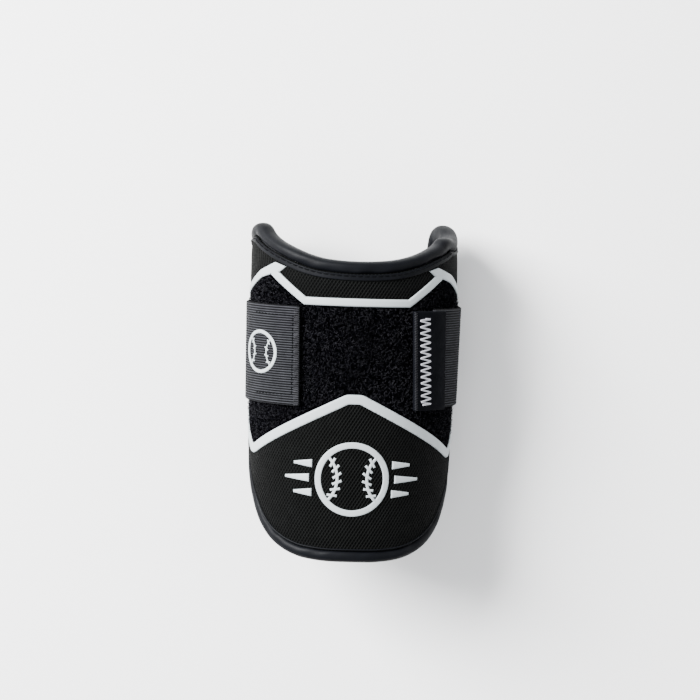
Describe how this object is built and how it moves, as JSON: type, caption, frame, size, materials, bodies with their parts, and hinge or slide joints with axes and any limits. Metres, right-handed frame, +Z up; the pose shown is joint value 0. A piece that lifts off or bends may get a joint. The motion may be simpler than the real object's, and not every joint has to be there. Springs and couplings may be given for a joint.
{
  "type": "baseball elbow guard",
  "caption": "Padded half-shell elbow guard with a rolled rim, white stripes and an elastic strap round the back, lying on its strap.",
  "frame": {"origin": "on the surface that the guard lies on, under the middle of its bounding box", "axes": "+X across the arm, +Y along the arm towards the scooped collar, +Z up out of the front face"},
  "size_m": [0.1142, 0.1691, 0.0719],
  "materials": {
    "foam": "matt closed-cell foam round a stiff plate",
    "lining_cloth": "brushed knitted cloth",
    "binding_cloth": "smooth dark navy-black cloth",
    "mesh_cloth": "black woven mesh cloth",
    "loop_cloth": "fuzzy black loop cloth",
    "white_trim": "satin white flexible print film",
    "hook_tape": "black hook tape",
    "elastic": "charcoal ribbed elastic webbing",
    "cover_cloth": "smooth dark charcoal cloth"
  },
  "bodies": {
    "root": {"padded_core": "foam", "inner_lining": "lining_cloth", "edge_binding": "binding_cloth", "collar_tape": "binding_cloth", "upper_mesh_panel": "mesh_cloth", "loop_field": "loop_cloth", "lower_mesh_panel": "mesh_cloth", "upper_trim": "white_trim", "lower_trim": "white_trim", "left_hook_patch": "hook_tape", "right_hook_patch": "hook_tape", "elastic_strap": "elastic", "right_strap_cover": "cover_cloth"}
  },
  "joints": []
}
